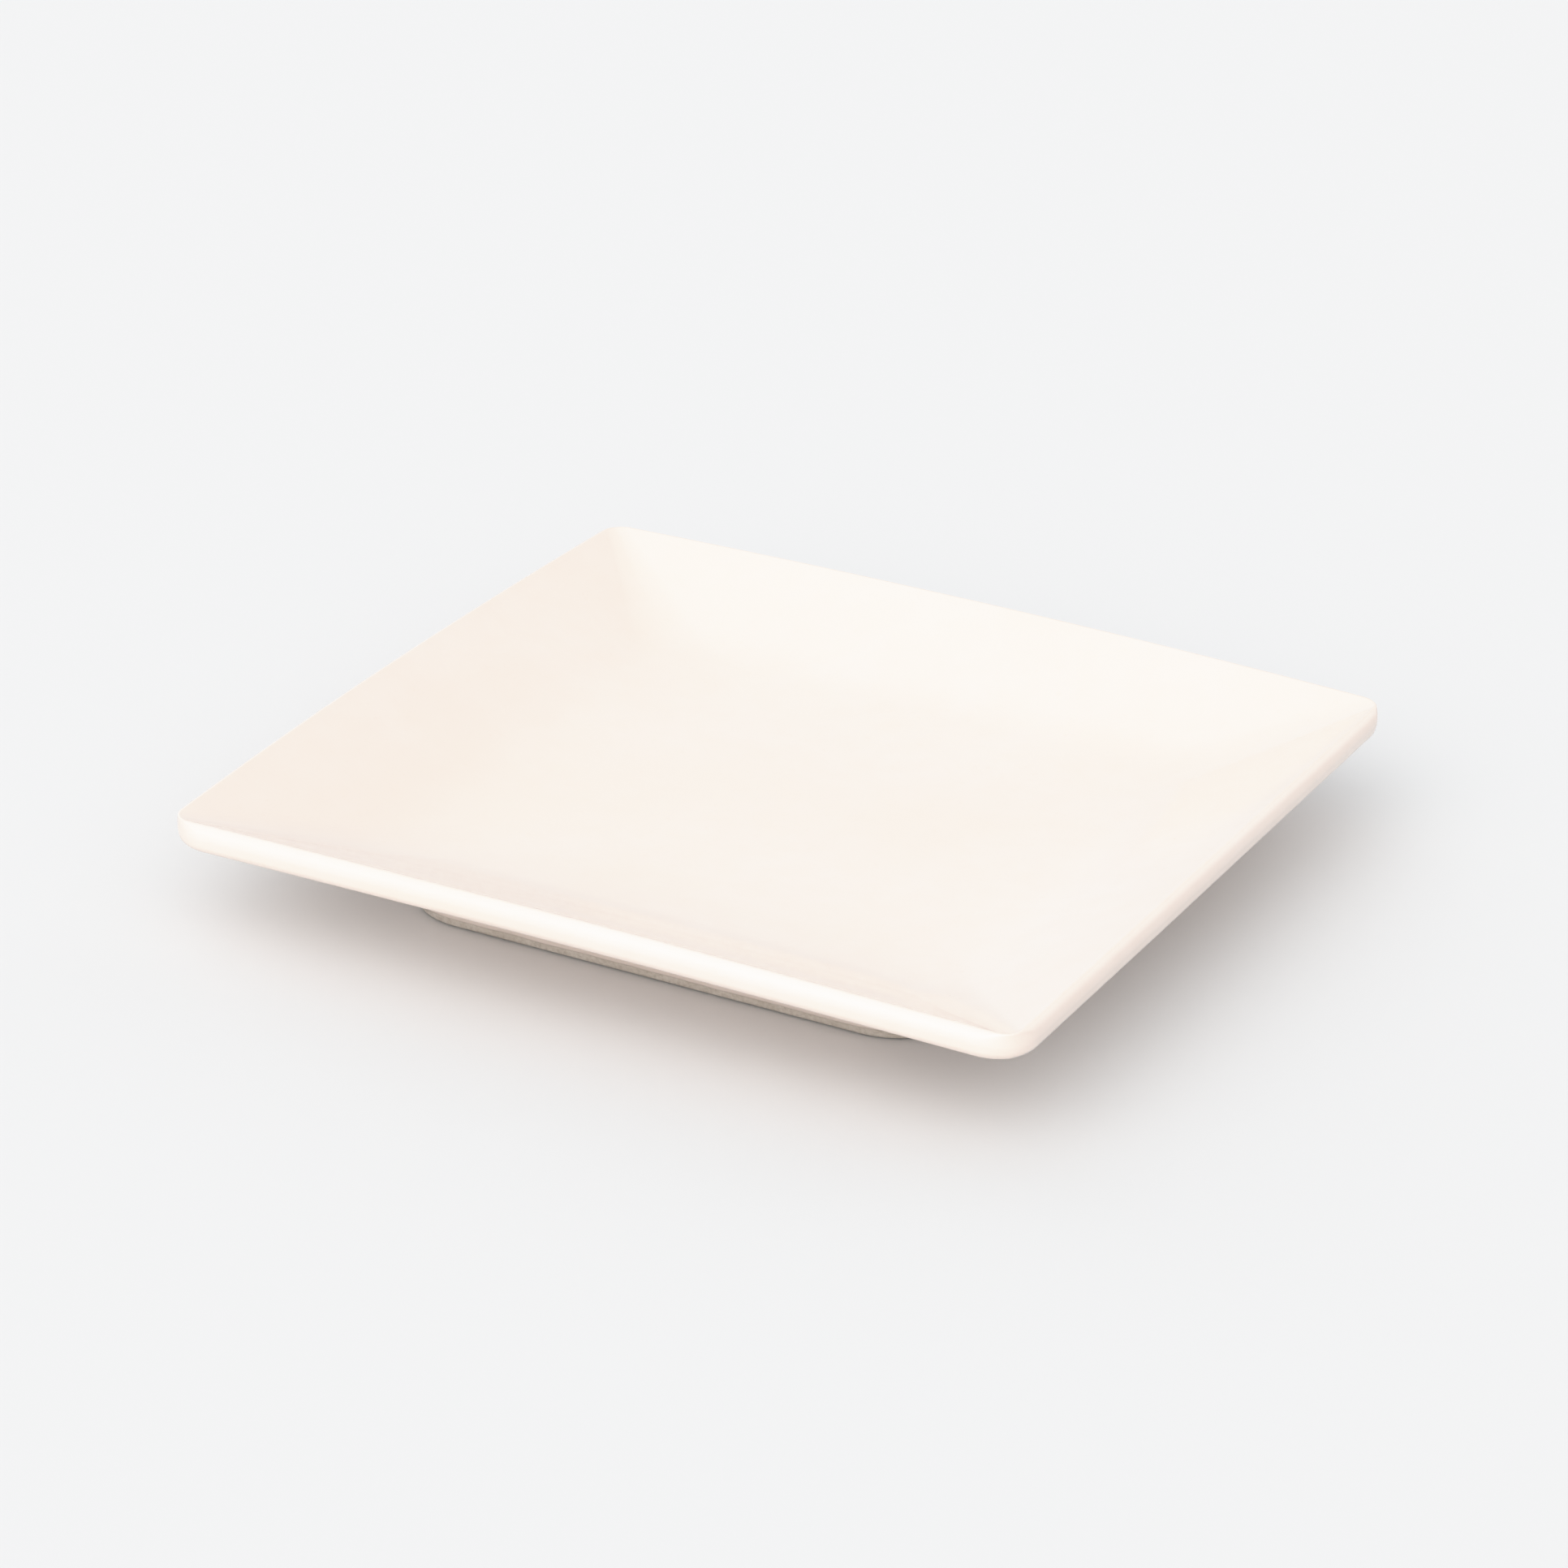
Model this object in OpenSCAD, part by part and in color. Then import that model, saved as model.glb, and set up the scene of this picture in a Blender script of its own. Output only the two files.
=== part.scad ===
// Square ceramic plate with a crisp crested rim, four sloping walls that meet
// in mitred corners, a shallow well and a square foot ring.
// Z = 0 is the plane the foot ring stands on, and the Z axis runs through the
// middle of the plate. All sizes are in millimetres.

/* [Plate] */
// Width across the middles of two opposite sides
plate_w = 150; // [140:1:180]
// Overall height at the middle of a side
plate_h = 21.2; // [19.6:0.2:24]
// Corner radius of the outside of the rim, seen from above
corner_r = 7.4; // [6:0.2:11]
// Corner radius of the crest of the rim, seen from above
crest_corner = 3; // [2:0.2:5]
// How far each side bows out between its corners
side_bow = 0.8; // [0:0.1:1.6]
// How far the rim rises from a corner to the middle of a side
side_lift = 0.85; // [0:0.05:1.5]

/* [Rim and wall] */
// Radius of the crest where the rim meets the inside of the wall
crest_r = 0.6; // [0.55:0.05:1]
// Radius of the upper round on the outside of the rim
rim_round = 2.4; // [2.2:0.1:2.8]
// Radius of the lower round on the outside of the rim
rim_low = 1.8; // [1.4:0.1:2.2]
// Length of the flat between the two rounds
rim_flat = 0.85; // [0.4:0.05:1.2]
// Slope of the inside of the wall under the crest, in degrees from level
wall_slope = 23.5; // [20:0.5:25]
// How much gentler that slope is at the foot of the wall, in degrees
wall_ease = 5; // [1:0.5:6]
// Slope of the underside of the wall, in degrees from level
under_slope = 20; // [18:0.5:21]

/* [Well] */
// Half width of the dished floor of the well
well_half = 46.5; // [43:0.5:49]
// Radius of the curve that joins the wall to the floor
well_fillet = 42; // [30:1:55]
// Corner radius of the floor, seen from above
well_r = 11; // [7:0.5:20]
// Slope of the floor at its edge, in degrees: it eases to level in the middle
floor_slope = 6; // [3:0.5:8]
// Thickness of the clay under the middle of the well
base_t = 4.6; // [4:0.1:5.2]

/* [Foot ring] */
// Outer width of the foot ring where it stands
foot_w = 95; // [84:1:98]
// Corner radius of the foot ring, seen from above
foot_r = 11.5; // [9:0.5:18]
// Width of the bottom of the foot ring
foot_t = 6; // [4:0.5:8]
// Rounding of the two edges that touch the table
foot_edge = 0.7; // [0.3:0.1:1]
// Radius of the curve between the foot ring and the wall above it
foot_fillet = 2; // [1:0.5:3]

/* [Glaze] */
// Thickness of the glaze
glaze_t = 0.35; // [0.2:0.05:0.5]
// Height above the table at which the glaze stops
glaze_line = 1.5; // [1.2:0.1:2.5]

/* [Hidden] */

// Steps around one corner and along one side of every ring (side_n is even).
arc_n = 6;
side_n = 8;
ring_n = 4 * (arc_n + side_n);

// Section of the bare clay, as [half width, height, corner radius, share of bow and lift].
// The outside of the rim is a lower round, a short flat that leans in downwards, an upper round
// and the small round of the crest, all running into each other. rim_s and rim_z are the centre
// of the crest.
low_a = -8;
crest_a = 55;
crest_c = crest_r - glaze_t;
round_c = rim_round - glaze_t;
low_c = rim_low - glaze_t;
rim_s = plate_w / 2 - side_bow - crest_r * cos(crest_a) - rim_round * (1 - cos(crest_a));
rim_z = plate_h - side_lift - crest_r;
up_s = rim_s + (crest_r - rim_round) * cos(crest_a);
up_z = rim_z + (crest_r - rim_round) * sin(crest_a);
lo_s = up_s + (rim_round - rim_low) * cos(low_a) + rim_flat * sin(low_a);
lo_z = up_z + (rim_round - rim_low) * sin(low_a) - rim_flat * cos(low_a);
out_s = up_s + round_c;
out_r = corner_r - glaze_t;

function rim_corner(s) = max(0.9, out_r - (out_s - s));
function share(s, a, b) = pow(max(0, min(1, (s - a) / (b - a))), 1.3);
function mix(a, b, t) = a + (b - a) * t;

// Above the widest line of the rim the corners get tighter, up to the crest.
function upper_corner(s) = mix(crest_corner, out_r, max(0, (s - rim_s) / (out_s - rim_s)));

// Where the rim runs into the inside and the underside of the wall.
top_s = rim_s - crest_c * sin(wall_slope);
top_z = rim_z + crest_c * cos(wall_slope);
low_s = lo_s + low_c * sin(under_slope);
low_z = lo_z - low_c * cos(under_slope);

// Inside of the wall, its curve and the floor.
toe_slope = wall_slope - wall_ease;
bend_s = well_half + well_fillet * (sin(toe_slope) - sin(floor_slope));
wall_run = top_s - bend_s;
function wall_drop(d) = d * tan(wall_slope)
    - (tan(wall_slope) - tan(toe_slope)) * pow(d, 2.5) / (2.5 * pow(wall_run, 1.5));
bend_z = top_z - wall_drop(wall_run);
floor_z = bend_z - well_fillet * (cos(floor_slope) - cos(toe_slope));
dish_n = 4;
mid_z = floor_z - well_half * tan(floor_slope) / dish_n;
function floor_at(s) = mid_z + (floor_z - mid_z) * pow(s / well_half, dish_n);
function well_corner(s) = mix(well_r, crest_corner, (s - well_half) / (top_s - well_half));
function inner_point(s, z) = [s, z, well_corner(s), share(s, well_half, top_s)];

// Underside, foot ring and the recess inside it.
foot_half = foot_w / 2;
foot_in = foot_half - foot_t;
foot_top_s = foot_half + 0.5;
foot_top_z = low_z - (low_s - foot_top_s) * tan(under_slope);
foot_in_top = foot_in - 0.6;
recess_z = mid_z - base_t;
recess_r = 2.5;
fillet_run = foot_fillet * tan((90 - under_slope) / 2);
function foot_corner(s) = max(2, foot_r - (foot_half - s));
function under_corner(s) = mix(foot_r, rim_corner(low_s), (s - foot_half) / (low_s - foot_half));
function under_point(s, z) = [s, z, under_corner(s), share(s, foot_top_s, low_s)];
function in_point(s, z) = [s, z, foot_corner(s), 0];

// Recess, from its middle out to the line where the base glaze stops.
recess_pts = concat(
    [[0, recess_z, 0, 0], in_point(foot_in_top * 0.6, recess_z)],
    [for (k = [0:4]) let (a = 90 - 22.5 * k)
        in_point(foot_in_top - recess_r + recess_r * cos(a), recess_z - recess_r + recess_r * sin(a))],
    [in_point(foot_in - 0.08, glaze_line)]);
// Bare bottom of the foot ring. It runs on below the table and is cut off level.
bare_pts = [
    in_point(foot_in, foot_edge),
    in_point(foot_in + 0.3 * foot_edge, 0.3 * foot_edge),
    in_point(foot_in + 1.7 * foot_edge, -0.7 * foot_edge),
    in_point(foot_half - 1.7 * foot_edge, -0.7 * foot_edge),
    in_point(foot_half - 0.3 * foot_edge, 0.3 * foot_edge),
    in_point(foot_half, foot_edge)];
// Outside of the foot, underside, rim, inside of the wall, floor.
coat_pts = concat(
    [in_point(foot_half + 0.1, glaze_line),
     in_point(foot_top_s, foot_top_z - fillet_run)],
    [for (k = [1:4]) let (a = mix(180, 90 + under_slope, k / 4))
        under_point(foot_top_s + foot_fillet + foot_fillet * cos(a),
                    foot_top_z - fillet_run + foot_fillet * sin(a))],
    [for (k = [1:2]) let (t = k / 3, s = mix(foot_top_s + fillet_run, low_s, t))
        under_point(s, low_z - (low_s - s) * tan(under_slope))],
    [for (k = [0:4]) let (a = mix(under_slope - 90, low_a, k / 4), s = lo_s + low_c * cos(a))
        [s, lo_z + low_c * sin(a), rim_corner(s), 1]],
    [for (k = [0:3]) let (a = mix(low_a, crest_a, k / 3), s = up_s + round_c * cos(a))
        [s, up_z + round_c * sin(a), upper_corner(s), 1]],
    [for (k = [1:3]) let (a = mix(crest_a, 90 + wall_slope, k / 3), s = rim_s + crest_c * cos(a))
        [s, rim_z + crest_c * sin(a), upper_corner(s), 1]],
    [for (k = [1:2]) let (s = mix(top_s, bend_s, k / 3))
        inner_point(s, top_z - wall_drop(top_s - s))],
    [for (k = [0:6]) let (a = mix(toe_slope, floor_slope, k / 6), s = well_half + well_fillet * (sin(a) - sin(floor_slope)))
        inner_point(s, floor_z + well_fillet * (cos(floor_slope) - cos(a)))],
    [for (t = [0.9, 0.78, 0.64, 0.46, 0.25]) let (s = well_half * t) [s, floor_at(s), well_r * t, 0]],
    [[0, mid_z, 0, 0]]);
clay_pts = concat(recess_pts, bare_pts, coat_pts);

// Outward normal of a section at point i, from its neighbours.
function dir(v) = let (n = norm(v)) n > 0 ? v / n : v;
function flat(p) = [p[0], p[1]];
function section_normal(pts, i) =
    pts[i][0] == 0 ? [0, i == 0 ? -1 : 1] :
    let (n = len(pts),
         a = i > 0 ? dir(flat(pts[i]) - flat(pts[i - 1])) : [0, 0],
         b = i < n - 1 ? dir(flat(pts[i + 1]) - flat(pts[i])) : [0, 0],
         d = dir(a + b))
    [d[1], -d[0]];
// Glaze gets thinner towards the line where it stops.
function glaze_at(pts, i, edge) = let (d = abs(i - edge)) d == 0 ? 0.35 * glaze_t : glaze_t;
function glazed(pts, edge) = [for (i = [0:len(pts) - 1])
    let (p = pts[i], m = section_normal(pts, i), g = glaze_at(pts, i, edge))
    [max(0, p[0] + m[0] * g), p[1] + m[1] * g, p[2] == 0 ? 0 : max(0.5, p[2] + m[0] * g), p[3]]];

// One ring: a square of half width s with round corners, bowed sides and a lifted middle.
function bowed(x, y, s, w) = let (u = x / s, v = y / s)
    x + side_bow * w * sign(u) * pow(abs(u), 4) * (1 - v * v);
function lifted(x, y, w) = let (a = abs(x), b = abs(y), m = min(a, b) / max(a, b))
    side_lift * w * (1 - m * m);
function plan(s, r, k) =
    let (q = floor(k / (arc_n + side_n)), j = k - q * (arc_n + side_n), c = s - r,
         p = j < arc_n
             ? [c + r * cos(90 * j / arc_n), c + r * sin(90 * j / arc_n)]
             : [mix(c, -c, (j - arc_n) / side_n), s])
    [p[0] * cos(90 * q) - p[1] * sin(90 * q), p[0] * sin(90 * q) + p[1] * cos(90 * q)];
function ring(p) = [for (k = [0:ring_n - 1]) let (xy = plan(p[0], p[2], k))
    [bowed(xy[0], xy[1], p[0], p[3]), bowed(xy[1], xy[0], p[0], p[3]),
     p[1] + lifted(xy[0], xy[1], p[3])]];

// A section turned into rings. A section point on the axis becomes one vertex.
function count(p) = p[0] == 0 ? 1 : ring_n;
function starts(pts, i = 0, at = 0) = i >= len(pts) ? [at] : concat([at], starts(pts, i + 1, at + count(pts[i])));
function vertices(pts) = [for (p = pts) each (p[0] == 0 ? [[0, 0, p[1]]] : ring(p))];
function band(a, na, b, nb) =
    [for (k = [0:ring_n - 1]) let (k1 = (k + 1) % ring_n)
        each (na == 1 ? [[a, b + k1, b + k]] :
              nb == 1 ? [[a + k, a + k1, b]] :
              [[a + k, a + k1, b + k1], [a + k, b + k1, b + k]])];
function skin(pts, base = 0) = let (st = starts(pts))
    [for (i = [0:len(pts) - 2]) each band(base + st[i], count(pts[i]), base + st[i + 1], count(pts[i + 1]))];
function reversed(faces) = [for (f = faces) [f[2], f[1], f[0]]];

// A closed solid from a section that runs from axis to axis.
module turned(pts) {
    polyhedron(points = vertices(pts), faces = reversed(skin(pts)), convexity = 6);
}
// A closed coat between a section and its glazed copy. The open edge is at the first or the last point.
module coat(pts, edge) {
    outer = glazed(pts, edge);
    n = len(vertices(pts));
    st = starts(pts);
    rim = edge == 0
        ? band(st[edge], ring_n, n + st[edge], ring_n)
        : band(n + st[edge], ring_n, st[edge], ring_n);
    polyhedron(points = concat(vertices(pts), vertices(outer)),
        faces = reversed(concat(reversed(skin(pts)), skin(outer, n), rim)), convexity = 6);
}

// Fired clay: floor, walls, rim and foot ring in one piece, bare where it stands.
module clay_body() {
    color([0.80, 0.74, 0.68])
    difference() {
        turned(clay_pts);
        translate([-plate_w, -plate_w, -20]) cube([2 * plate_w, 2 * plate_w, 20]);
    }
}

// Glaze over the whole plate down to the foot ring.
module glaze_coat() {
    color([0.97, 0.94, 0.90]) coat(coat_pts, 0);
}

// Glaze in the recess inside the foot ring.
module base_glaze() {
    color([0.96, 0.93, 0.88]) coat(recess_pts, len(recess_pts) - 1);
}

clay_body();
glaze_coat();
base_glaze();
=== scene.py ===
import math
import bpy
import numpy as np
from mathutils import Matrix, Vector, noise


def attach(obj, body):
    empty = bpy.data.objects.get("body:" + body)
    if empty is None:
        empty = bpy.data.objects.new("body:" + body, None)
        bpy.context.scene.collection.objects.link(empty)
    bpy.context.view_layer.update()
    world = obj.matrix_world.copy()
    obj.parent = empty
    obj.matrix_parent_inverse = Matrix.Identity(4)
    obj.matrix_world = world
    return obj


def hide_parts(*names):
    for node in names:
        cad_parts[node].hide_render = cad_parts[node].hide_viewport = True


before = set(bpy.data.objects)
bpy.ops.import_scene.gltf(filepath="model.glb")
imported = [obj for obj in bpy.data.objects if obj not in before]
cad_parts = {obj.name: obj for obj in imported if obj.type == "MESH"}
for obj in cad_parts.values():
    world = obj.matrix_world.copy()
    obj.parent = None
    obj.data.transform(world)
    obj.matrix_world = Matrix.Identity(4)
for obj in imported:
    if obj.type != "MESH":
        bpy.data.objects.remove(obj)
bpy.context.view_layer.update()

# A fixed seed, so that every run makes the same plate.
noise.seed_set(11)

MM = 0.001

# ---------------------------------------------------------------- camera
# Seen from the front right and above, with a slight roll, through a long lens.
CAM_AZ, CAM_EL, CAM_ROLL = 0.448946, 0.42036, 0.0464718
CAM_TARGET = Vector((0.0, 0.0, 19.75 * MM))
CAM_DIST = 955.04 * MM
ca, sa, ce, se = math.cos(CAM_AZ), math.sin(CAM_AZ), math.cos(CAM_EL), math.sin(CAM_EL)
back = Vector((sa * ce, -ca * ce, se))
right = Vector((ca, sa, 0.0))
up = back.cross(right)
cr, sr = math.cos(CAM_ROLL), math.sin(CAM_ROLL)
x_axis = cr * right + sr * up
y_axis = -sr * right + cr * up
cam_data = bpy.data.cameras.new("camera")
cam_data.sensor_width = 36.0
cam_data.lens = 135.59
cam_data.shift_x = -14.29 / 1932
cam_data.shift_y = -29.74 / 1932
cam_data.clip_end = 50.0
cam = bpy.data.objects.new("camera", cam_data)
cam.matrix_world = Matrix.Translation(CAM_TARGET + back * CAM_DIST) @ Matrix((x_axis, y_axis, back)).transposed().to_4x4()
bpy.context.scene.collection.objects.link(cam)
bpy.context.scene.camera = cam

# ---------------------------------------------------------------- sizes, in mm
PLATE_W, PLATE_H, CORNER_R, CREST_CORNER, BOW, LIFT = 150.0, 21.2, 7.4, 3.0, 0.8, 0.85
CREST_R, RIM_ROUND, RIM_LOW, RIM_FLAT = 0.6, 2.4, 1.8, 0.85
WALL_A, TOE_A, UNDER_A = math.radians(23.5), math.radians(18.5), math.radians(20.0)
LOW_A, CREST_A = math.radians(-8.0), math.radians(55.0)
WELL_HALF, WELL_FILLET, WELL_R, FLOOR_A, BASE_T = 46.5, 42.0, 11.0, math.radians(6.0), 4.6
DISH_N = 4.0
FOOT_W, FOOT_R, FOOT_T, FOOT_EDGE, FOOT_FILLET = 95.0, 11.5, 6.0, 0.7, 2.0
GLAZE_T, GLAZE_LINE = 0.35, 1.5
WARP = 0.13

crest_c, round_c, low_c = CREST_R - GLAZE_T, RIM_ROUND - GLAZE_T, RIM_LOW - GLAZE_T
rim_s = PLATE_W / 2 - BOW - CREST_R * math.cos(CREST_A) - RIM_ROUND * (1 - math.cos(CREST_A))
rim_z = PLATE_H - LIFT - CREST_R
up_s, up_z = rim_s + (CREST_R - RIM_ROUND) * math.cos(CREST_A), rim_z + (CREST_R - RIM_ROUND) * math.sin(CREST_A)
lo_s = up_s + (RIM_ROUND - RIM_LOW) * math.cos(LOW_A) + RIM_FLAT * math.sin(LOW_A)
lo_z = up_z + (RIM_ROUND - RIM_LOW) * math.sin(LOW_A) - RIM_FLAT * math.cos(LOW_A)
out_s = up_s + round_c
out_r = CORNER_R - GLAZE_T


def mix(a, b, t):
    return a + (b - a) * t


def smooth(t):
    t = np.clip(t, 0.0, 1.0)
    return t * t * (3 - 2 * t)


def rim_corner(s):
    return max(0.9, out_r - (out_s - s))


def upper_corner(s):
    return mix(CREST_CORNER, out_r, max(0.0, (s - rim_s) / (out_s - rim_s)))


def share(s, a, b):
    return max(0.0, min(1.0, (s - a) / (b - a))) ** 1.3


top_s, top_z = rim_s - crest_c * math.sin(WALL_A), rim_z + crest_c * math.cos(WALL_A)
low_s, low_z = lo_s + low_c * math.sin(UNDER_A), lo_z - low_c * math.cos(UNDER_A)
bend_s = WELL_HALF + WELL_FILLET * (math.sin(TOE_A) - math.sin(FLOOR_A))
wall_run = top_s - bend_s


def wall_drop(d):
    return d * math.tan(WALL_A) - (math.tan(WALL_A) - math.tan(TOE_A)) * d ** 2.5 / (2.5 * wall_run ** 1.5)


bend_z = top_z - wall_drop(wall_run)
floor_z = bend_z - WELL_FILLET * (math.cos(FLOOR_A) - math.cos(TOE_A))
mid_z = floor_z - WELL_HALF * math.tan(FLOOR_A) / DISH_N
foot_half = FOOT_W / 2
foot_in = foot_half - FOOT_T
foot_top_s = foot_half + 0.5
foot_top_z = low_z - (low_s - foot_top_s) * math.tan(UNDER_A)
foot_in_top = foot_in - 0.6
recess_z = mid_z - BASE_T
RECESS_R = 2.5
fillet_run = FOOT_FILLET * math.tan((math.pi / 2 - UNDER_A) / 2)


def well_corner(s):
    return mix(WELL_R, CREST_CORNER, (s - WELL_HALF) / (top_s - WELL_HALF))


def inner_point(s, z):
    return (s, z, well_corner(s), share(s, WELL_HALF, top_s))


def foot_corner(s):
    return max(2.0, FOOT_R - (foot_half - s))


def under_corner(s):
    return mix(FOOT_R, rim_corner(low_s), (s - foot_half) / (low_s - foot_half))


def under_point(s, z):
    return (s, z, under_corner(s), share(s, foot_top_s, low_s))


def in_point(s, z):
    return (s, z, foot_corner(s), 0.0)


def steps(n, first=0, last=None):
    last = n if last is None else last
    return [k / n for k in range(first, last + 1)]


def arc_points(cs, cz, r, a0, a1, n, first, corner):
    out = []
    for t in steps(n, first):
        a = mix(a0, a1, t)
        s = cs + r * math.cos(a)
        out.append((s, cz + r * math.sin(a), corner(s), 1.0))
    return out


# Section of the clay as (half width, height, corner radius, share of bow and lift).
recess_pts = [(0.0, recess_z, 0.0, 0.0)]
recess_pts += [in_point(foot_in_top * t, recess_z) for t in (0.12, 0.25, 0.38, 0.5, 0.6, 0.7, 0.8, 0.88)]
recess_pts += [in_point(foot_in_top - RECESS_R + RECESS_R * math.cos(a), recess_z - RECESS_R + RECESS_R * math.sin(a))
               for a in (math.pi / 2 * (1 - t) for t in steps(10))]
recess_pts += [in_point(mix(foot_in_top, foot_in - 0.08, t), mix(recess_z - RECESS_R, GLAZE_LINE, t)) for t in (0.3, 0.6, 0.8, 0.92, 1.0)]

bare_pts = [in_point(mix(foot_in - 0.08, foot_in, t), mix(GLAZE_LINE, FOOT_EDGE, t)) for t in (0.35, 0.7)]
bare_pts += [in_point(foot_in + FOOT_EDGE * (1 - math.cos(a)), FOOT_EDGE * (1 - math.sin(a))) for a in (math.pi / 2 * t for t in steps(5))]
bare_pts += [in_point(mix(foot_in + FOOT_EDGE, foot_half - FOOT_EDGE, t), 0.0) for t in (0.2, 0.4, 0.6, 0.8)]
bare_pts += [in_point(foot_half - FOOT_EDGE * (1 - math.sin(a)), FOOT_EDGE * (1 - math.cos(a))) for a in (math.pi / 2 * t for t in steps(5))]
bare_pts += [in_point(mix(foot_half, foot_half + 0.1, t), mix(FOOT_EDGE, GLAZE_LINE, t)) for t in (0.3, 0.65)]

coat_pts = [in_point(mix(foot_half + 0.1, foot_top_s, t), mix(GLAZE_LINE, foot_top_z - fillet_run, t)) for t in (0.0, 0.06, 0.14, 0.25, 0.4, 0.6, 0.8, 1.0)]
coat_pts += [under_point(foot_top_s + FOOT_FILLET + FOOT_FILLET * math.cos(a), foot_top_z - fillet_run + FOOT_FILLET * math.sin(a))
             for a in (mix(math.pi, math.pi / 2 + UNDER_A, t) for t in steps(8, 1))]
coat_pts += [under_point(s, low_z - (low_s - s) * math.tan(UNDER_A))
             for s in (mix(foot_top_s + fillet_run, low_s, t) for t in steps(10, 1, 9))]
coat_pts += arc_points(lo_s, lo_z, low_c, UNDER_A - math.pi / 2, LOW_A, 14, 0, rim_corner)
coat_pts += arc_points(up_s, up_z, round_c, LOW_A, CREST_A, 12, 0, upper_corner)
crest_first = len(coat_pts)
coat_pts += arc_points(rim_s, rim_z, crest_c, CREST_A, math.pi / 2 + WALL_A, 8, 1, upper_corner)
crest_last = len(coat_pts)
coat_pts += [inner_point(s, top_z - wall_drop(top_s - s)) for s in (mix(top_s, bend_s, t) for t in (0.01, 0.03, 0.07, 0.13, 0.2, 0.3, 0.4, 0.5, 0.6, 0.7, 0.8, 0.9))]
coat_pts += [inner_point(s, floor_z + WELL_FILLET * (math.cos(FLOOR_A) - math.cos(a)))
             for a, s in ((a, WELL_HALF + WELL_FILLET * (math.sin(a) - math.sin(FLOOR_A))) for a in (mix(TOE_A, FLOOR_A, t) for t in steps(16)))]
coat_pts += [(WELL_HALF * t, mid_z + (floor_z - mid_z) * t ** DISH_N, WELL_R * t, 0.0)
             for t in (0.98, 0.96, 0.94, 0.92, 0.9, 0.87, 0.84, 0.81, 0.78, 0.74, 0.7, 0.65, 0.6, 0.54, 0.48, 0.4, 0.3, 0.2, 0.1)]
coat_pts += [(0.0, mid_z, 0.0, 0.0)]


def normals(pts):
    p = np.array([q[:2] for q in pts])
    d = np.diff(p, axis=0)
    d /= np.linalg.norm(d, axis=1)[:, None]
    t = np.vstack([d[:1], d[:-1] + d[1:], d[-1:]])
    t /= np.linalg.norm(t, axis=1)[:, None]
    n = np.column_stack([t[:, 1], -t[:, 0]])
    for i in (0, len(pts) - 1):
        if pts[i][0] == 0.0:
            n[i] = (0.0, -1.0 if i == 0 else 1.0)
    return n


def run_length(pts, edge):
    p = np.array([q[:2] for q in pts])
    l = np.concatenate([[0.0], np.cumsum(np.linalg.norm(np.diff(p, axis=0), axis=1))])
    return np.abs(l - l[edge])


def glazed(pts, edge):
    """The outside of the glaze: full thickness, with a thin rolled end at the line where it stops."""
    n = normals(pts)
    l = run_length(pts, edge)
    g = GLAZE_T * (0.35 + 0.65 * smooth(l / 0.9)) + 0.05 * np.exp(-((l - 1.1) / 0.5) ** 2)
    out = []
    for (s, z, r, w), (ns, nz), t in zip(pts, n, g):
        out.append((max(0.0, s + ns * t), z + nz * t, 0.0 if r == 0.0 else max(0.5, r + ns * t), w))
    return out


# ---------------------------------------------------------------- rings
def ring(p, arc_n, side_n):
    s, z, r, w = p
    c = s - r
    a = np.linspace(0.0, math.pi / 2, arc_n, endpoint=False)
    t = np.linspace(0.0, 1.0, side_n, endpoint=False)
    quarter = np.vstack([np.column_stack([c + r * np.cos(a), c + r * np.sin(a)]),
                         np.column_stack([c - 2 * c * t, np.full(side_n, s)])])
    x, y = [], []
    for q in range(4):
        cq, sq = ((1, 0), (0, 1), (-1, 0), (0, -1))[q]
        x.append(quarter[:, 0] * cq - quarter[:, 1] * sq)
        y.append(quarter[:, 0] * sq + quarter[:, 1] * cq)
    x, y = np.concatenate(x), np.concatenate(y)
    u, v = x / s, y / s
    bx = x + BOW * w * np.sign(u) * np.abs(u) ** 4 * (1 - v * v)
    by = y + BOW * w * np.sign(v) * np.abs(v) ** 4 * (1 - u * u)
    lo, hi = np.minimum(np.abs(x), np.abs(y)), np.maximum(np.abs(x), np.abs(y))
    return np.column_stack([bx, by, z + LIFT * w * (1 - (lo / hi) ** 2)])


def slow(v, scale, seed):
    """Slow, smooth noise at a point given in mm, about -1 to 1 in each direction."""
    return np.array(noise.noise_vector(Vector((v[0] / scale + seed, v[1] / scale - 2.0 * seed, v[2] / scale + 0.5 * seed))))


def hand_made(v):
    """The slight warp of pressed and fired ware, and the uneven line where the glaze was wiped off the foot."""
    x, y, z = v
    free = float(smooth((z - 1.0) / 9.0))
    d = free * (0.10 * slow(v, 58.0, 3.1) + 0.012 * slow(v, 19.0, 7.7))
    k = 1.0 - WARP / 75.0 * free
    out = np.array([x * k, y * k, z * (1.0 - WARP / PLATE_H * free)]) + np.clip(d, -0.12, 0.12)
    edge = math.exp(-((z - GLAZE_LINE) / 0.8) ** 2) * float(smooth(z / 0.7))
    out[2] += edge * (0.22 * slow(v, 9.0, 1.3)[0] + 0.10 * slow(v, 2.6, 5.2)[0])
    return out


def rings_of(pts, arc_n, side_n):
    rs = [np.array([[0.0, 0.0, p[1]]]) if p[0] == 0.0 else ring(p, arc_n, side_n) for p in pts]
    return [np.array([hand_made(v) for v in r]) for r in rs]


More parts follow.
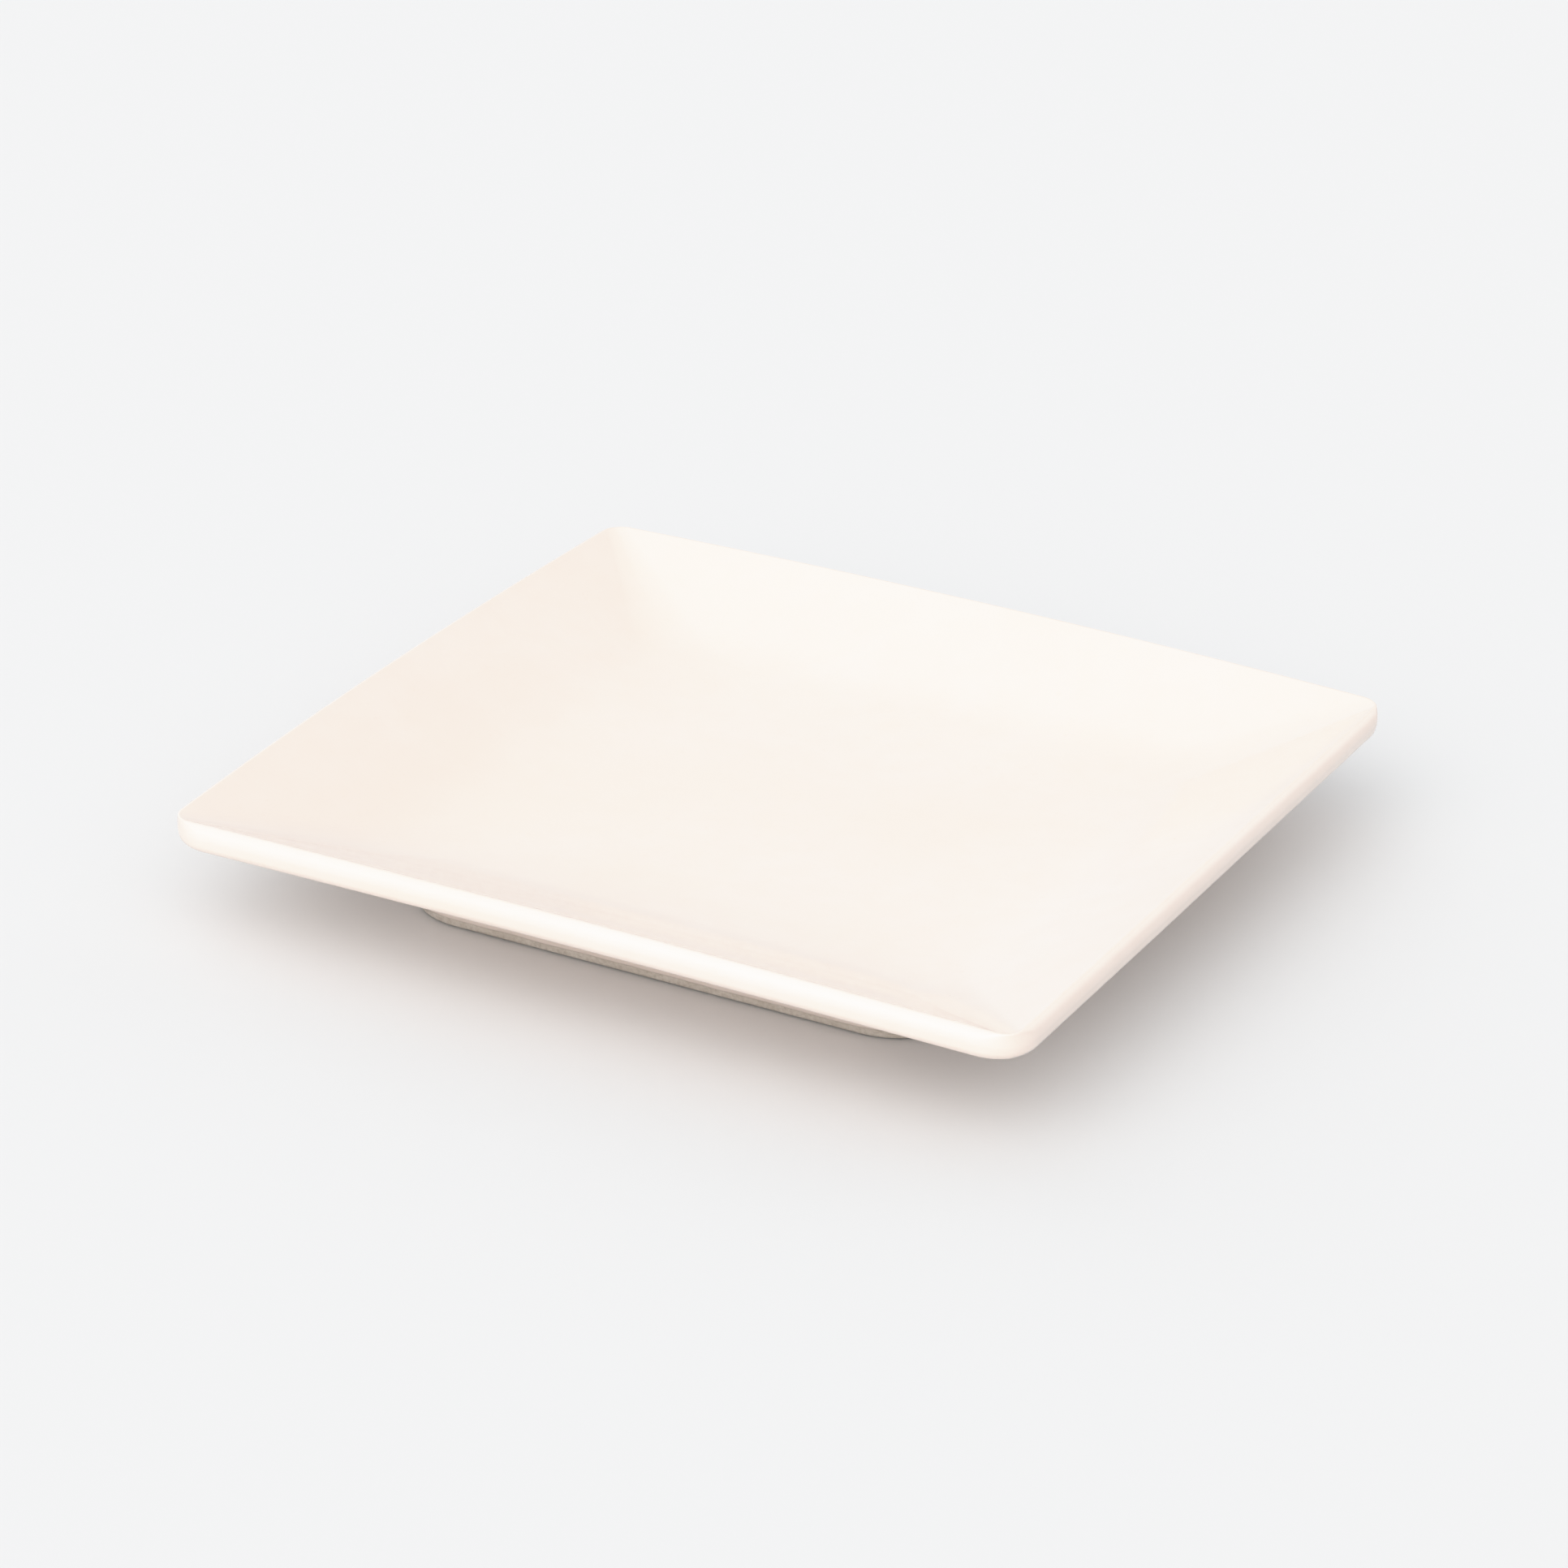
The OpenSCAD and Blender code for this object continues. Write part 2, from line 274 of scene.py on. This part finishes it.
def skin(rings, base=0):
    """Faces between neighbouring rings, seen from the outside of the section."""
    starts = np.concatenate([[0], np.cumsum([len(r) for r in rings])]) + base
    faces = []
    for i in range(len(rings) - 1):
        a, b, na, nb = int(starts[i]), int(starts[i + 1]), len(rings[i]), len(rings[i + 1])
        n = max(na, nb)
        for k in range(n):
            k1 = (k + 1) % n
            if na == 1:
                faces.append((a, b + k1, b + k))
            elif nb == 1:
                faces.append((a + k, a + k1, b))
            else:
                faces.append((a + k, a + k1, b + k1, b + k))
    return faces


def make(name, verts, faces, shades=None):
    me = bpy.data.meshes.new(name)
    me.from_pydata([tuple(v * MM) for v in verts], [], faces)
    me.update()
    if shades is not None:
        layer = me.attributes.new("thin", "FLOAT", "POINT")
        layer.data.foreach_set("value", np.asarray(shades, np.float32))
    for p in me.polygons:
        p.use_smooth = True
    ob = bpy.data.objects.new(name, me)
    bpy.context.scene.collection.objects.link(ob)
    return ob


def coat(name, pts, edge, arc_n, side_n, thin):
    """A closed layer of glaze between the clay and its own outside."""
    inner, outer = rings_of(pts, arc_n, side_n), rings_of(glazed(pts, edge), arc_n, side_n)
    n = sum(len(r) for r in inner)
    verts = np.vstack(inner + outer)
    starts = np.concatenate([[0], np.cumsum([len(r) for r in inner])])
    faces = [tuple(reversed(f)) for f in skin(inner)] + skin(outer, n)
    m = len(inner[edge])
    a, b = int(starts[edge]), n + int(starts[edge])
    if edge != 0:
        a, b = b, a
    faces += [(a + k, a + (k + 1) % m, b + (k + 1) % m, b + k) for k in range(m)]
    shades = np.concatenate([np.full(len(r), t) for r, t in zip(inner, thin)])
    return make(name, verts, faces, np.concatenate([shades, shades]))


def thin_at(pts, edge, marks=()):
    """How thin the glaze lies: 1 at the line where it stops, some on the crest of the rim, 0 elsewhere."""
    t = np.exp(-run_length(pts, edge) / 0.5)
    for i in marks:
        t[i] = max(t[i], 0.6)
    return t


ARC, SIDE = 14, 44
glaze = coat("glaze_coat_visual", coat_pts, 0, ARC, SIDE, thin_at(coat_pts, 0, range(crest_first, crest_last)))
base = coat("base_glaze_visual", recess_pts, len(recess_pts) - 1, ARC, SIDE, thin_at(recess_pts, len(recess_pts) - 1))
clay_rings = rings_of(recess_pts + bare_pts + coat_pts, ARC, SIDE)
clay = make("clay_body_visual", np.vstack(clay_rings), skin(clay_rings))


# ---------------------------------------------------------------- materials
def material(name):
    m = bpy.data.materials.new(name)
    m.use_nodes = True
    nt = m.node_tree
    nt.nodes.clear()
    out = nt.nodes.new("ShaderNodeOutputMaterial")
    bsdf = nt.nodes.new("ShaderNodeBsdfPrincipled")
    nt.links.new(bsdf.outputs[0], out.inputs["Surface"])
    return m, nt, bsdf


def noise_node(nt, coords, scale, detail, rough=0.5):
    n = nt.nodes.new("ShaderNodeTexNoise")
    n.inputs["Scale"].default_value = scale
    n.inputs["Detail"].default_value = detail
    n.inputs["Roughness"].default_value = rough
    nt.links.new(coords, n.inputs["Vector"])
    return n.outputs["Fac"]


def ramp_node(nt, fac, stops):
    n = nt.nodes.new("ShaderNodeValToRGB")
    e = n.color_ramp.elements
    while len(e) < len(stops):
        e.new(0.5)
    for k, (pos, col) in enumerate(stops):
        e[k].position = pos
        e[k].color = (*col, 1) if len(col) == 3 else col
    nt.links.new(fac, n.inputs["Fac"])
    return n.outputs["Color"]


def mix_node(nt, fac, a, b, kind="MIX"):
    n = nt.nodes.new("ShaderNodeMix")
    n.data_type = "RGBA"
    n.blend_type = kind
    if isinstance(fac, float):
        n.inputs[0].default_value = fac
    else:
        nt.links.new(fac, n.inputs[0])
    for sock, v in ((n.inputs[6], a), (n.inputs[7], b)):
        if isinstance(v, tuple):
            sock.default_value = (*v, 1)
        else:
            nt.links.new(v, sock)
    return n.outputs[2]


def math_node(nt, op, a, b=None, clamp=False):
    n = nt.nodes.new("ShaderNodeMath")
    n.operation = op
    n.use_clamp = clamp
    for sock, v in zip(n.inputs, (a, b)):
        if v is None:
            continue
        if isinstance(v, (int, float)):
            sock.default_value = v
        else:
            nt.links.new(v, sock)
    return n.outputs[0]


def range_node(nt, value, a0, a1, b0, b1):
    n = nt.nodes.new("ShaderNodeMapRange")
    n.inputs["From Min"].default_value, n.inputs["From Max"].default_value = a0, a1
    n.inputs["To Min"].default_value, n.inputs["To Max"].default_value = b0, b1
    nt.links.new(value, n.inputs["Value"])
    return n.outputs[0]


def bump_node(nt, height, distance, under=None):
    n = nt.nodes.new("ShaderNodeBump")
    n.inputs["Strength"].default_value = 1.0
    n.inputs["Distance"].default_value = distance
    nt.links.new(height, n.inputs["Height"])
    if under is not None:
        nt.links.new(under, n.inputs["Normal"])
    return n.outputs["Normal"]


def speckle(nt, coords, scale, radius, share_of_cells):
    """Sparse round dots: one in a few cells of the given scale holds one."""
    v = nt.nodes.new("ShaderNodeTexVoronoi")
    v.inputs["Scale"].default_value = scale
    nt.links.new(coords, v.inputs["Vector"])
    sep = nt.nodes.new("ShaderNodeSeparateColor")
    nt.links.new(v.outputs["Color"], sep.inputs[0])
    chosen = math_node(nt, "LESS_THAN", sep.outputs[0], share_of_cells)
    size = range_node(nt, sep.outputs[1], 0.0, 1.0, 0.5 * radius, radius)
    dot = math_node(nt, "SUBTRACT", 1.0, math_node(nt, "DIVIDE", v.outputs["Distance"], size), clamp=True)
    return math_node(nt, "MULTIPLY", chosen, math_node(nt, "SMOOTH_MIN", math_node(nt, "MULTIPLY", dot, 3.0), 1.0), clamp=True)


# Warm ivory glaze: slow clouds of tone, finer mottling, thin places that let the clay through,
# a few pinholes and specks, and the faint unevenness of a surface that flowed in the kiln.
glaze_mat, nt, bsdf = material("cream_glaze")
coords = nt.nodes.new("ShaderNodeTexCoord").outputs["Object"]
clouds = noise_node(nt, coords, 26.0, 2.0)
mottle = noise_node(nt, coords, 190.0, 3.0)
fine = noise_node(nt, coords, 900.0, 2.0)
tone = ramp_node(nt, clouds, ((0.30, (0.845, 0.725, 0.651)), (0.52, (0.855, 0.738, 0.669)), (0.72, (0.862, 0.749, 0.684))))
tone = mix_node(nt, range_node(nt, mottle, 0.35, 0.75, 0.0, 0.35), tone, (0.832, 0.709, 0.633))
tone = mix_node(nt, range_node(nt, fine, 0.62, 0.80, 0.0, 0.12), tone, (0.75, 0.622, 0.525))
attr = nt.nodes.new("ShaderNodeAttribute")
attr.attribute_name = "thin"
thin = math_node(nt, "MULTIPLY", attr.outputs["Fac"], range_node(nt, mottle, 0.3, 0.7, 0.06, 0.11))
tone = mix_node(nt, thin, tone, (0.61, 0.50, 0.41))
pits = speckle(nt, coords, 115.0, 0.030, 0.10)
specks = speckle(nt, coords, 75.0, 0.016, 0.16)
tone = mix_node(nt, math_node(nt, "MULTIPLY", specks, 0.55), tone, (0.42, 0.35, 0.28))
tone = mix_node(nt, math_node(nt, "MULTIPLY", pits, 0.22), tone, (0.60, 0.53, 0.46))
nt.links.new(tone, bsdf.inputs["Base Color"])
nt.links.new(range_node(nt, noise_node(nt, coords, 60.0, 3.0), 0.3, 0.7, 0.055, 0.11), bsdf.inputs["Roughness"])
peel = bump_node(nt, noise_node(nt, coords, 230.0, 1.0), 0.000006)
holes = bump_node(nt, math_node(nt, "SUBTRACT", 1.0, pits), 0.00006, peel)
nt.links.new(holes, bsdf.inputs["Normal"])
bsdf.inputs["IOR"].default_value = 1.5

# Bare fired clay: sandy grain, a little iron speck, rough all over.
clay_mat, nt, bsdf = material("bare_clay")
coords = nt.nodes.new("ShaderNodeTexCoord").outputs["Object"]
grain = noise_node(nt, coords, 1500.0, 4.0, 0.65)
patch = noise_node(nt, coords, 120.0, 3.0)
tone = ramp_node(nt, grain, ((0.30, (0.47, 0.405, 0.34)), (0.50, (0.60, 0.535, 0.465)), (0.72, (0.70, 0.64, 0.57))))
tone = mix_node(nt, range_node(nt, patch, 0.35, 0.7, 0.0, 0.5), tone, (0.50, 0.43, 0.36))
iron = speckle(nt, coords, 420.0, 0.16, 0.10)
tone = mix_node(nt, math_node(nt, "MULTIPLY", iron, 0.6), tone, (0.26, 0.17, 0.11))
nt.links.new(tone, bsdf.inputs["Base Color"])
nt.links.new(range_node(nt, grain, 0.3, 0.7, 0.78, 0.95), bsdf.inputs["Roughness"])
nt.links.new(bump_node(nt, grain, 0.00012), bsdf.inputs["Normal"])

for piece, mat, slot_name, node_name in ((glaze, glaze_mat, "cream_glaze", "glaze_coat"),
                                         (base, glaze_mat, "cream_glaze", "base_glaze"),
                                         (clay, clay_mat, "bare_clay", "clay_body")):
    piece.data.materials.append(mat)
    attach(piece, "root")
    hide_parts(node_name)

# ---------------------------------------------------------------- stage and light
floor_me = bpy.data.meshes.new("floor")
floor_me.from_pydata([(-6, -6, -0.0002), (6, -6, -0.0002), (6, 6, -0.0002), (-6, 6, -0.0002)], [], [(0, 1, 2, 3)])
floor = bpy.data.objects.new("floor", floor_me)
bpy.context.scene.collection.objects.link(floor)
floor_mat, nt, bsdf = material("pale_floor")
bsdf.inputs["Base Color"].default_value = (0.744, 0.744, 0.744, 1)
bsdf.inputs["Roughness"].default_value = 0.75
bsdf.inputs["Specular IOR Level"].default_value = 0.2
floor_me.materials.append(floor_mat)

world = bpy.data.worlds.new("studio")
bpy.context.scene.world = world
world.use_nodes = True
nt = world.node_tree
sky = nt.nodes["Background"]
direction = nt.nodes.new("ShaderNodeTexCoord").outputs["Generated"]


def vector_node(nt, op, a, b):
    n = nt.nodes.new("ShaderNodeVectorMath")
    n.operation = op
    for sock, v in ((n.inputs[0], a), (n.inputs["Scale"] if op == "SCALE" else n.inputs[1], b)):
        if isinstance(v, tuple):
            sock.default_value = v
        else:
            nt.links.new(v, sock)
    return n.outputs["Value"] if op == "DOT_PRODUCT" else n.outputs["Vector"]


# Broad soft lights with no edge, all round the plate: azimuth (0 is -Y, 90 is +X) and elevation
# in degrees, how narrow, and strength in red, green and blue.
FILL = (0.307, 0.318, 0.329)
SOFT_LIGHTS = ((0, 34, 7.0, (2.495, 2.46, 2.43)),
               (36, 34, 7.0, (0.83, 0.82, 0.81)),
               (72, 34, 7.0, (0.30, 0.30, 0.30)),
               (324, 34, 7.0, (0.30, 0.30, 0.30)),
               (216, 34, 7.0, (0.18, 0.18, 0.18)),
               (20, 60, 6.0, (0.385, 0.385, 0.385)),
               (240, 60, 6.0, (0.51, 0.515, 0.52)),
               (155, 24, 16.0, (0.955, 0.965, 0.975)),
               (180, 9, 9.0, (0.47, 0.48, 0.49)),
               (240, 9, 9.0, (1.225, 1.25, 1.275)))
total = FILL
for az, el, narrow, strength in SOFT_LIGHTS:
    a, e = math.radians(az), math.radians(el)
    towards = (math.sin(a) * math.cos(e), -math.cos(a) * math.cos(e), math.sin(e))
    off = math_node(nt, "SUBTRACT", vector_node(nt, "DOT_PRODUCT", direction, towards), 1.0)
    lobe = math_node(nt, "EXPONENT", math_node(nt, "MULTIPLY", off, narrow))
    total = vector_node(nt, "ADD", vector_node(nt, "SCALE", strength, lobe), total)
nt.links.new(total, sky.inputs["Color"])
sky.inputs["Strength"].default_value = 1.0

view = bpy.context.scene.view_settings
view.view_transform = "Standard"
view.look = "None"
# Bright tones roll off softly to white, as on film, from a little below white up to twice as bright.
ROLL = 0.85
view.use_curve_mapping = True
tone_curve = view.curve_mapping
tone_curve.white_level = (2.0, 2.0, 2.0)
shoulder = tone_curve.curves[3]
for x in (ROLL, 0.89, 0.93, 0.97, 1.02, 1.08, 1.15, 1.25, 1.38, 1.60):
    shoulder.points.new(x / 2.0, 1.0 - (1.0 - ROLL) * math.exp((ROLL - x) / (1.0 - ROLL)))
for p in shoulder.points:
    p.handle_type = "VECTOR"
tone_curve.update()
